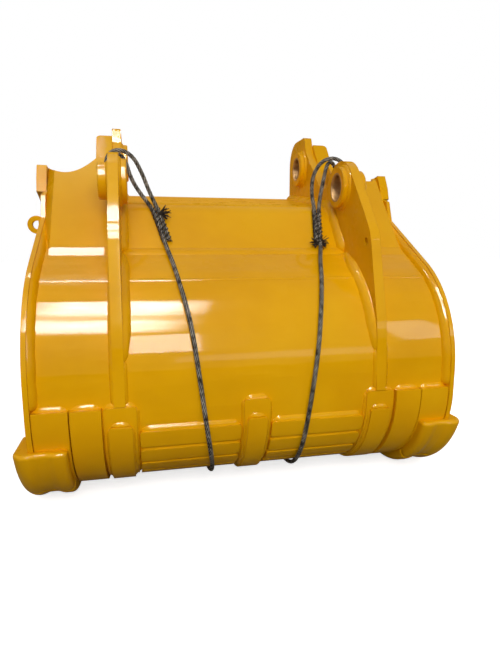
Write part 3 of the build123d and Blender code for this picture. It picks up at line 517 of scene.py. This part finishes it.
for word in ("left", "right", "centre"):
    plate_welds(f"heel_base_{word}", HEEL_R, BASE_LEG, PLATE_TOP_LEG)
    plate_welds(f"heel_strap_{word}", HEEL_R + BASE_T, STRAP_LEG, STRAP_TOP_LEG)
for word in ("left", "right"):
    plate_welds(f"side_strap_{word}", HEEL_R, PLATE_LEG, PLATE_TOP_LEG, sides=False)
    plate_welds(f"corner_plate_{word}", HEEL_R, PLATE_LEG, PLATE_TOP_LEG, sides=False)
    low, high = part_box(f"wear_bars_{word}")
    x0, x1 = low.x / MM, high.x / MM
    for row in range(BEADED_BARS):
        t = radians(BAR_START + row * BAR_PITCH)
        out, up = (0, -cos(t), -sin(t)), (0, -sin(t), cos(t))
        p = (heel_y - HEEL_R * cos(t), heel_z - HEEL_R * sin(t))
        top = straight((x0 + BAR_STOP, *p), (x1 - BAR_STOP, *p), up, out)
        bead("weld_wear_bars", top, BAR_LEG if row else TOP_BAR_LEG, BAR_FACE_LEG, run_out=0.8)

# Floor and lip, and the inside corners of the bowl
up, rearward = (0, 0, 1), (0, -1, 0)
lip_row = straight((-inside, lip_rear, floor_top), (inside, lip_rear, floor_top), up, rearward)
bead("weld_lip", lip_row, FLOOR_LEG)
for hand in (-1, 1):
    inward, x = (-hand, 0, 0), hand * inside
    floor_row = straight((x, heel_y, floor_top), (x, lip_rear - FLOOR_LEG, floor_top), up, inward)
    bead("weld_bowl", floor_row, BOWL_LEG)
    lip_row = straight((x, lip_rear, lip_top), (x, lip_front - LIP_STOP, lip_top), up, inward)
    bead("weld_bowl", lip_row, BOWL_LEG)
    rows = []
    for y, z, ny, nz in skin:
        rows.append((at(x, y - ny * SHELL_T, z - nz * SHELL_T), Vector((0, -ny, -nz)), Vector(inward)))
    bead("weld_bowl", rows[:-2], BOWL_LEG)

# Adapters on the lip
ADAPTERS = 5
y0, y1 = lip_front - ADAPTER_REAR, lip_front - ADAPTER_STOP
for i in range(1, ADAPTERS + 1):
    low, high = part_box(f"adapter_{i}")
    x0, x1 = low.x / MM, high.x / MM
    for x, out in ((x0, (-1, 0, 0)), (x1, (1, 0, 0))):
        if abs(x) < inside - ADAPTER_CLEAR:
            bead("weld_lip", straight((x, y0, lip_top), (x, y1, lip_top), up, out), ADAPTER_LEG)
    bead("weld_lip", straight((x0, y0, lip_top), (x1, y0, lip_top), up, rearward), ADAPTER_LEG)

# Lifting eye on the left side plate
EYE_REACH, EYE_STEP = 40, 6
eye_low, eye_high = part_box("lifting_eye")
eye_z = (eye_low.z + eye_high.z) / 2 / MM
for y, out in ((eye_low.y, (0, -1, 0)), (eye_high.y, (0, 1, 0))):
    y = y / MM + MIDDLE
    bottom, top = (-half, y, eye_z - EYE_REACH), (-half, y, eye_z + EYE_REACH)
    bead("weld_eye", straight(bottom, top, (-1, 0, 0), out, EYE_STEP), EYE_LEG)

for name, (verts, faces) in groups.items():
    weld = add_mesh(name, verts, faces, crease=WELD_CREASE)
    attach(weld, "bucket")

# Splices and loose wire ends of the rope, in metres apart from the routes
SPLICE_ROUTES = (
    ("right", [(452, 484, 1238), (471, 566, 1338), (491, 639, 1428)]),
    ("left", [(-368, 490, 1245), (-391, 566, 1338), (-422, 643, 1427)]),
)
SPLICE_WRAPS, SPLICE_TURNS = 4, 2.1
SPLICE_WIDE, SPLICE_DEEP = 0.0255, 0.0135
SPLICE_R, SPLICE_LAY, SPLICE_STEP = 0.0032, 0.03, 0.004
SPLICE_LOBES, SPLICE_DIP = 3, 0.12
WIRE_ROOT, WIRE_BEND, WIRE_STEPS = 0.007, 0.4, 5
WIRE_LENGTHS, WIRE_WIDTHS = (0.6, 1.0), (0.7, 1.2)  # shares of the longest and of the mean
RIGHTWARD = ((0.4, 1.0), (-0.6, -0.1), (-0.7, 0.6))
LEFTWARD = ((-1.0, -0.4), (-0.6, -0.1), (-0.7, 0.6))
random.seed(7)


def wrap(name, route, phase):
    """Strand wound round the two legs of an eye where they are spliced"""
    line = evenly(spline_points([at(*p) for p in route], name + "_route"), SPLICE_STEP)
    across = Vector((1, 0, 0))
    wound = []
    for i, (point, (t, _, _)) in enumerate(zip(line, frames(line))):
        u = (across - t * across.dot(t)).normalized()
        v = t.cross(u)
        angle = phase + 2 * pi * SPLICE_TURNS * i / (len(line) - 1)
        wound.append(point + u * SPLICE_WIDE * cos(angle) + v * SPLICE_DEEP * sin(angle))
    return tube(wound, lobed(SPLICE_R, SPLICE_LOBES, SPLICE_LAY, SPLICE_DIP, per_lobe=3))


def join_parts(name, parts):
    """One mesh of several tubes, on the bucket's body"""
    verts, faces = [], []
    for v, f in parts:
        base = len(verts)
        verts += v
        faces += [tuple(k + base for k in face) for face in f]
    obj = add_mesh(name, verts, faces)
    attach(obj, "bucket")


def broom(centre, spread, count, reach, radius):
    """Loose wire ends that stick out of a splice"""
    parts = []
    for _ in range(count):
        way = Vector([random.uniform(*limits) for limits in spread])
        way.normalize()
        start = at(*centre) + Vector([random.uniform(-WIRE_ROOT, WIRE_ROOT) for _ in range(3)])
        length = reach * random.uniform(*WIRE_LENGTHS)
        bend = Vector([random.uniform(-WIRE_BEND, WIRE_BEND) for _ in range(3)])
        line = []
        for k in range(WIRE_STEPS + 1):
            share = k / WIRE_STEPS
            line.append(start + way * length * share + bend * length * share ** 2 / 2)
        parts.append(tube(line, round_section(radius * random.uniform(*WIRE_WIDTHS))))
    return parts


for word, route in SPLICE_ROUTES:
    name = f"splice_{word}"
    wraps = [wrap(name, route, 2 * pi * k / SPLICE_WRAPS) for k in range(SPLICE_WRAPS)]
    join_parts(f"sling_splice_{word}", wraps)
wires = broom((455, 484, 1242), RIGHTWARD, count=26, reach=0.050, radius=0.0022)
wires += broom((447, 484, 1242), LEFTWARD, count=22, reach=0.046, radius=0.0022)
join_parts("sling_wire_ends_right", wires)
wires = broom((-396, 600, 1392), RIGHTWARD, count=34, reach=0.055, radius=0.0024)
join_parts("sling_wire_ends_left", wires)

# Materials


def new_material(name):
    mat = bpy.data.materials.new(name)
    mat.use_nodes = True
    nodes, links = mat.node_tree.nodes, mat.node_tree.links
    return mat, nodes, links, nodes["Principled BSDF"]


def noise(nodes, links, coords, scale, detail=3.0, rough=0.5):
    node = nodes.new("ShaderNodeTexNoise")
    node.inputs["Scale"].default_value = scale
    node.inputs["Detail"].default_value = detail
    node.inputs["Roughness"].default_value = rough
    links.new(coords, node.inputs["Vector"])
    return node.outputs["Fac"]


def mapping(nodes, links, coords, name, value):
    """Coordinates that are turned or stretched"""
    node = nodes.new("ShaderNodeMapping")
    node.inputs[name].default_value = value
    links.new(coords, node.inputs["Vector"])
    return node.outputs["Vector"]


def ramp(nodes, links, source, stops):
    """Colour ramp; a stop's tone is a colour, or one number for a grey"""
    node = nodes.new("ShaderNodeValToRGB")
    while len(node.color_ramp.elements) < len(stops):
        node.color_ramp.elements.new(0.5)
    for element, (place, tone) in zip(node.color_ramp.elements, stops):
        element.position = place
        element.color = (*tone, 1.0) if isinstance(tone, tuple) else (tone, tone, tone, 1.0)
    links.new(source, node.inputs["Fac"])
    return node.outputs["Color"]


def mix_colour(nodes, links, fac, a, b, blend="MIX"):
    node = nodes.new("ShaderNodeMix")
    node.data_type = "RGBA"
    node.blend_type = blend
    if isinstance(fac, float):
        node.inputs["Factor"].default_value = fac
    else:
        links.new(fac, node.inputs["Factor"])
    for value, socket in ((a, node.inputs["A"]), (b, node.inputs["B"])):
        if isinstance(value, tuple):
            socket.default_value = (*value, 1.0)
        else:
            links.new(value, socket)
    return node.outputs["Result"]


def maths(nodes, links, operation, a, b):
    """A sum on a socket and a second socket or number"""
    node = nodes.new("ShaderNodeMath")
    node.operation = operation
    links.new(a, node.inputs[0])
    if isinstance(b, float):
        node.inputs[1].default_value = b
    else:
        links.new(b, node.inputs[1])
    return node.outputs[0]


def map_range(nodes, links, source, ends, low, high):
    """Map Range node with its From or To ends set"""
    node = nodes.new("ShaderNodeMapRange")
    node.inputs[f"{ends} Min"].default_value = low
    node.inputs[f"{ends} Max"].default_value = high
    links.new(source, node.inputs["Value"])
    return node.outputs["Result"]


def bump(nodes, links, height, strength, distance, normal=None):
    node = nodes.new("ShaderNodeBump")
    node.inputs["Strength"].default_value = strength
    node.inputs["Distance"].default_value = distance
    links.new(height, node.inputs["Height"])
    if normal is not None:
        links.new(normal, node.inputs["Normal"])
    return node.outputs["Normal"]


GOLD = (0.76, 0.37, 0.0012)
GOLD_DARK = (0.70, 0.325, 0.001)
GOLD_LIGHT = (0.80, 0.41, 0.003)
GOLD_DUST = (GOLD[0] * 0.75, GOLD[1] * 0.8, GOLD[2] + 0.02)
DUST = 0.25


def paint(name, edge=0.004, rough=0.26, peel=0.02, wavy=0.0, wave=(0.7, 3.2, 3.2), coat=0.2):
    """Glossy golden paint: slow colour drift, a fine orange peel, and softened edges"""
    mat, nodes, links, shader = new_material(name)
    coords = nodes.new("ShaderNodeTexCoord").outputs["Object"]
    drift = noise(nodes, links, coords, 2.3, 4.0)
    body = ramp(nodes, links, drift, [(0.3, GOLD_DARK), (0.52, GOLD), (0.75, GOLD_LIGHT)])
    specks = noise(nodes, links, coords, 60.0, 6.0, 0.7)
    speck = ramp(nodes, links, specks, [(0.62, 0.0), (0.8, 1.0)])
    dusty = maths(nodes, links, "MULTIPLY", speck, DUST)
    colour = mix_colour(nodes, links, dusty, body, GOLD_DUST)
    links.new(colour, shader.inputs["Base Color"])
    smudge = noise(nodes, links, coords, 7.0, 5.0, 0.6)
    gloss = map_range(nodes, links, smudge, "To", rough * 0.75, rough * 1.5)
    links.new(gloss, shader.inputs["Roughness"])
    shader.inputs["Coat Weight"].default_value = coat
    shader.inputs["Coat Roughness"].default_value = 0.06
    shader.inputs["Specular IOR Level"].default_value = 0.03
    shader.inputs["Specular Tint"].default_value = (1.0, 0.7, 0.25, 1.0)
    orange_peel = noise(nodes, links, coords, 140.0, 2.0)
    bevel = nodes.new("ShaderNodeBevel")
    bevel.samples = 4
    bevel.inputs["Radius"].default_value = edge
    normal = bump(nodes, links, orange_peel, peel, 0.002, bevel.outputs["Normal"])
    if wavy:
        stretched = mapping(nodes, links, coords, "Scale", wave)
        roll = noise(nodes, links, stretched, 2.6, 2.5, 0.45)
        normal = bump(nodes, links, roll, wavy, 0.02, normal)
    links.new(normal, shader.inputs["Normal"])
    return mat


def steel(name, base, other, rough, metal=0.75, spec=0.3):
    """Bare steel, blotched between two tones"""
    mat, nodes, links, shader = new_material(name)
    coords = nodes.new("ShaderNodeTexCoord").outputs["Object"]
    grain = noise(nodes, links, coords, 35.0, 5.0, 0.6)
    links.new(ramp(nodes, links, grain, [(0.35, base), (0.7, other)]), shader.inputs["Base Color"])
    shader.inputs["Metallic"].default_value = metal
    shader.inputs["Specular IOR Level"].default_value = spec
    gloss = map_range(nodes, links, grain, "To", rough * 0.7, rough * 1.4)
    links.new(gloss, shader.inputs["Roughness"])
    fine = noise(nodes, links, coords, 420.0, 3.0)
    links.new(bump(nodes, links, fine, 0.12, 0.001), shader.inputs["Normal"])
    return mat


gold = paint("golden_paint")
gold_wrap = paint("golden_paint_on_wrapper", rough=0.24, wavy=0.5)
gold_ear = paint("golden_paint_on_ear", rough=0.25, wavy=0.28, wave=(1.5, 3.0, 3.4))
gold_dull = paint("golden_paint_dull", rough=0.4, peel=0.04, coat=0.03)
gold_weld = paint("golden_paint_on_weld", edge=0.001, rough=0.24, peel=0.06)
gold_plate = paint("golden_paint_on_wear_plate", edge=0.007, rough=0.28)
bush = steel("bush_steel", (0.30, 0.17, 0.07), (0.46, 0.29, 0.13), 0.38)
lock = steel("lock_steel", (0.11, 0.10, 0.09), (0.22, 0.19, 0.16), 0.42)
wire = steel("wire_steel", (0.022, 0.017, 0.011), (0.46, 0.42, 0.35), 0.65, 0.0, 0.06)
# Near-black steel for the faces at the gaps between the rope's strands: painted shade between the strands
wire_gap_painted_shade = steel("wire_steel_gap_painted_shade", (0.008, 0.005, 0.003), (0.02, 0.013, 0.008), 0.8, 0.0, 0.0)
# Steel much darker than the rope's, for the splices and loose wire ends: painted shade in their dense
# clumps
wire_ends_painted_shade = steel("wire_steel_loose_painted_shade", (0.012, 0.008, 0.005), (0.06, 0.046, 0.032), 0.7, 0.0, 0.05)

rope.data.materials.append(wire)
rope.data.materials.append(wire_gap_painted_shade)
# The faces beside each gap between strands take the painted shade
for face in rope.data.polygons:
    if face.index % PER_LOBE in (0, PER_LOBE - 1):
        face.material_index = 1
# Splices and loose wire ends take the dark steel of painted shade; welds take the golden paint
for name, obj in list(bpy.data.objects.items()):
    if name.startswith(("sling_splice", "sling_wire")):
        obj.data.materials.append(wire_ends_painted_shade)
    elif name.startswith("weld_"):
        obj.data.materials.append(gold_weld)

# A node takes the first finish in the list whose names it starts with
WEAR_PARTS = ("heel_", "side_strap", "corner_plate", "wear_bars", "tooth_tip", "adapter", "lip_shrouds")
FINISHES = (
    (("sling_rope",), wire),
    (("link_bushes", "stick_bushes"), bush),
    (("tooth_lock",), lock),
    (WEAR_PARTS, gold_plate),
    (("wrapper",), gold_wrap),
    (("ear_left", "ear_right"), gold_ear),
    (("side_bar", "wing_cover", "ear_gussets", "lifting_eye"), gold_dull),
    (("",), gold),
)
for name, node in frame["nodes"].items():
    finish = next(finish for names, finish in FINISHES if name.startswith(names))
    node.data.materials.clear()
    node.data.materials.append(finish)

# Pale floor, white where the camera sees it. Lengths are metres from here on
FLOOR_SIZE, FLOOR_DROP = 80, 0.0005
FLOOR_TONE, FLOOR_SEEN_TONE = (0.2, 0.2, 0.2), (0.9, 0.9, 0.9)
FLOOR_GLOW = 0.7


def rectangle(name, wide, tall):
    corners = [(x * wide / 2, y * tall / 2, 0) for x, y in ((-1, -1), (1, -1), (1, 1), (-1, 1))]
    return add_mesh(name, corners, [(0, 1, 2, 3)], smooth=False)


floor = rectangle("floor", FLOOR_SIZE, FLOOR_SIZE)
floor.location.z = -FLOOR_DROP
mat, nodes, links, shader = new_material("pale_floor")
to_camera = nodes.new("ShaderNodeLightPath").outputs["Is Camera Ray"]
tone = mix_colour(nodes, links, to_camera, FLOOR_TONE, FLOOR_SEEN_TONE)
links.new(tone, shader.inputs["Base Color"])
shader.inputs["Roughness"].default_value = 0.9
shader.inputs["Specular IOR Level"].default_value = 0.0
shader.inputs["Emission Color"].default_value = (1.0, 1.0, 1.0, 1.0)
glow = maths(nodes, links, "MULTIPLY", to_camera, FLOOR_GLOW)
links.new(glow, shader.inputs["Emission Strength"])
floor.data.materials.append(mat)

# World: white to the camera and to reflections, and dimmer where it lights the bucket
world = bpy.data.worlds.new("studio")
scene.world = world
world.use_nodes = True
nodes, links = world.node_tree.nodes, world.node_tree.links
nodes.clear()
ray = nodes.new("ShaderNodeLightPath").outputs
seen = maths(nodes, links, "MAXIMUM", ray["Is Camera Ray"], ray["Is Transmission Ray"])
seen = maths(nodes, links, "MAXIMUM", seen, ray["Is Glossy Ray"])
blend = nodes.new("ShaderNodeMixShader")
links.new(seen, blend.inputs["Fac"])
for i, (colour, strength) in enumerate((((1.0, 0.99, 0.97), 0.42), ((1.0, 1.0, 1.0), 1.0))):
    shade = nodes.new("ShaderNodeBackground")
    shade.inputs["Color"].default_value = (*colour, 1.0)
    shade.inputs["Strength"].default_value = strength
    links.new(shade.outputs[0], blend.inputs[i + 1])
links.new(blend.outputs[0], nodes.new("ShaderNodeOutputWorld").inputs["Surface"])

WALL = 3.1416  # watts for each square metre at a brightness of 1


def aimed(place, aim):
    return (Vector(aim) - Vector(place)).to_track_quat("-Z", "Y").to_euler()


def panel(name, place, aim, wide, tall, level, diffuse=True, glossy=True):
    """Softbox of a given brightness, seen by shading, by reflections, or by both"""
    data = bpy.data.lights.new(name, "AREA")
    data.shape = "RECTANGLE"
    data.size, data.size_y = wide, tall
    data.energy = level * wide * tall * WALL
    lamp = bpy.data.objects.new(name, data)
    lamp.location = place
    lamp.rotation_euler = aimed(place, aim)
    scene.collection.objects.link(lamp)
    lamp.visible_diffuse = diffuse
    lamp.visible_glossy = glossy


def reflected_only(obj):
    obj.visible_camera = obj.visible_diffuse = obj.visible_shadow = False


panel("key", (-0.6, -7.6, 4.3), (0.0, -0.8, 0.8), 5.0, 3.5, 6.5, glossy=False)

# Tall window behind the bucket that only reflections see: two bright bands with soft, streaked light
WINDOW_W, WINDOW_H, WINDOW_LEVEL, WINDOW_TILT = 3.1, 4.6, 120.0, 7.0
WINDOW_PLACE, WINDOW_AIM = (-0.85, -4.9, 6.6), (-0.6, -1.05, 0.9)
WINDOW_ROWS = [(0.0, 0.05), (0.10, 0.85), (0.34, 0.9), (0.44, 0.3),
               (0.50, 0.25), (0.60, 0.95), (0.90, 1.0), (1.0, 0.35)]
WINDOW_FADE = [(0.0, 0.5), (0.12, 1.0), (0.68, 1.0), (1.0, 0.05)]
WINDOW_UNEVEN = [(0.36, 0.35), (0.46, 0.8), (0.60, 1.2)]
window = rectangle("window", WINDOW_W, WINDOW_H)
window.location = WINDOW_PLACE
window.rotation_euler = aimed(WINDOW_PLACE, WINDOW_AIM)
reflected_only(window)
mat, nodes, links, shader = new_material("window_light")
coords = nodes.new("ShaderNodeTexCoord").outputs["Object"]
turned = mapping(nodes, links, coords, "Rotation", (0.0, 0.0, radians(WINDOW_TILT)))
split = nodes.new("ShaderNodeSeparateXYZ")
links.new(turned, split.inputs["Vector"])
x_share = map_range(nodes, links, split.outputs["X"], "From", -WINDOW_W / 2, WINDOW_W / 2)
y_share = map_range(nodes, links, split.outputs["Y"], "From", -WINDOW_H / 2, WINDOW_H / 2)
streaks = noise(nodes, links, mapping(nodes, links, turned, "Scale", (0.55, 3.4, 1.0)), 1.5, 6.0, 0.6)
glow = ramp(nodes, links, y_share, WINDOW_ROWS)
for tone in (ramp(nodes, links, x_share, WINDOW_FADE), ramp(nodes, links, streaks, WINDOW_UNEVEN)):
    glow = mix_colour(nodes, links, 1.0, glow, tone, "MULTIPLY")
emit = nodes.new("ShaderNodeEmission")
emit.inputs["Strength"].default_value = WINDOW_LEVEL
links.new(glow, emit.inputs["Color"])
links.new(emit.outputs[0], nodes["Material Output"].inputs["Surface"])
window.data.materials.append(mat)

# Softboxes that only reflections see, and one that only lights the front
panel("ceiling_strip", (-1.32, -0.07, 5.0), (-1.32, -0.07, 0.0), 0.94, 0.5, 60.0, diffuse=False)
panel("rib_strip", (-0.765, -1.48, 5.0), (-0.765, -1.48, 0.0), 0.18, 0.26, 90.0, diffuse=False)
panel("right_panel", (4.4, -6.3, 3.9), (0.7, -1.0, 0.8), 1.0, 2.4, 12.0, diffuse=False)
panel("low_window", (-0.03, -9.1, 4.75), (-0.42, -1.1, 0.79), 1.6, 2.9, 42.0, diffuse=False)
panel("low_strip", (2.4, -9.1, 2.1), (0.1, -1.1, 0.79), 4.6, 1.0, 4.5, diffuse=False)
panel("front_panel", (1.0, 6.0, 4.0), (0.0, 0.3, 0.8), 5.0, 2.5, 4.0, glossy=False)

# Golden card in front of the bucket, which only reflections see
card_corners = [(-9, 7, 0.7), (9, 7, 0.7), (9, 5, 7.5), (-9, 5, 7.5)]
card = add_mesh("golden_card", card_corners, [(0, 1, 2, 3)], smooth=False)
card.visible_transmission = False
reflected_only(card)
mat, nodes, links, shader = new_material("golden_card")
shader.inputs["Base Color"].default_value = (0.05, 0.035, 0.015, 1.0)
shader.inputs["Emission Color"].default_value = (0.75, 0.38, 0.05, 1.0)
shader.inputs["Emission Strength"].default_value = 1.0
shader.inputs["Roughness"].default_value = 1.0
shader.inputs["Specular IOR Level"].default_value = 0.0
card.data.materials.append(mat)
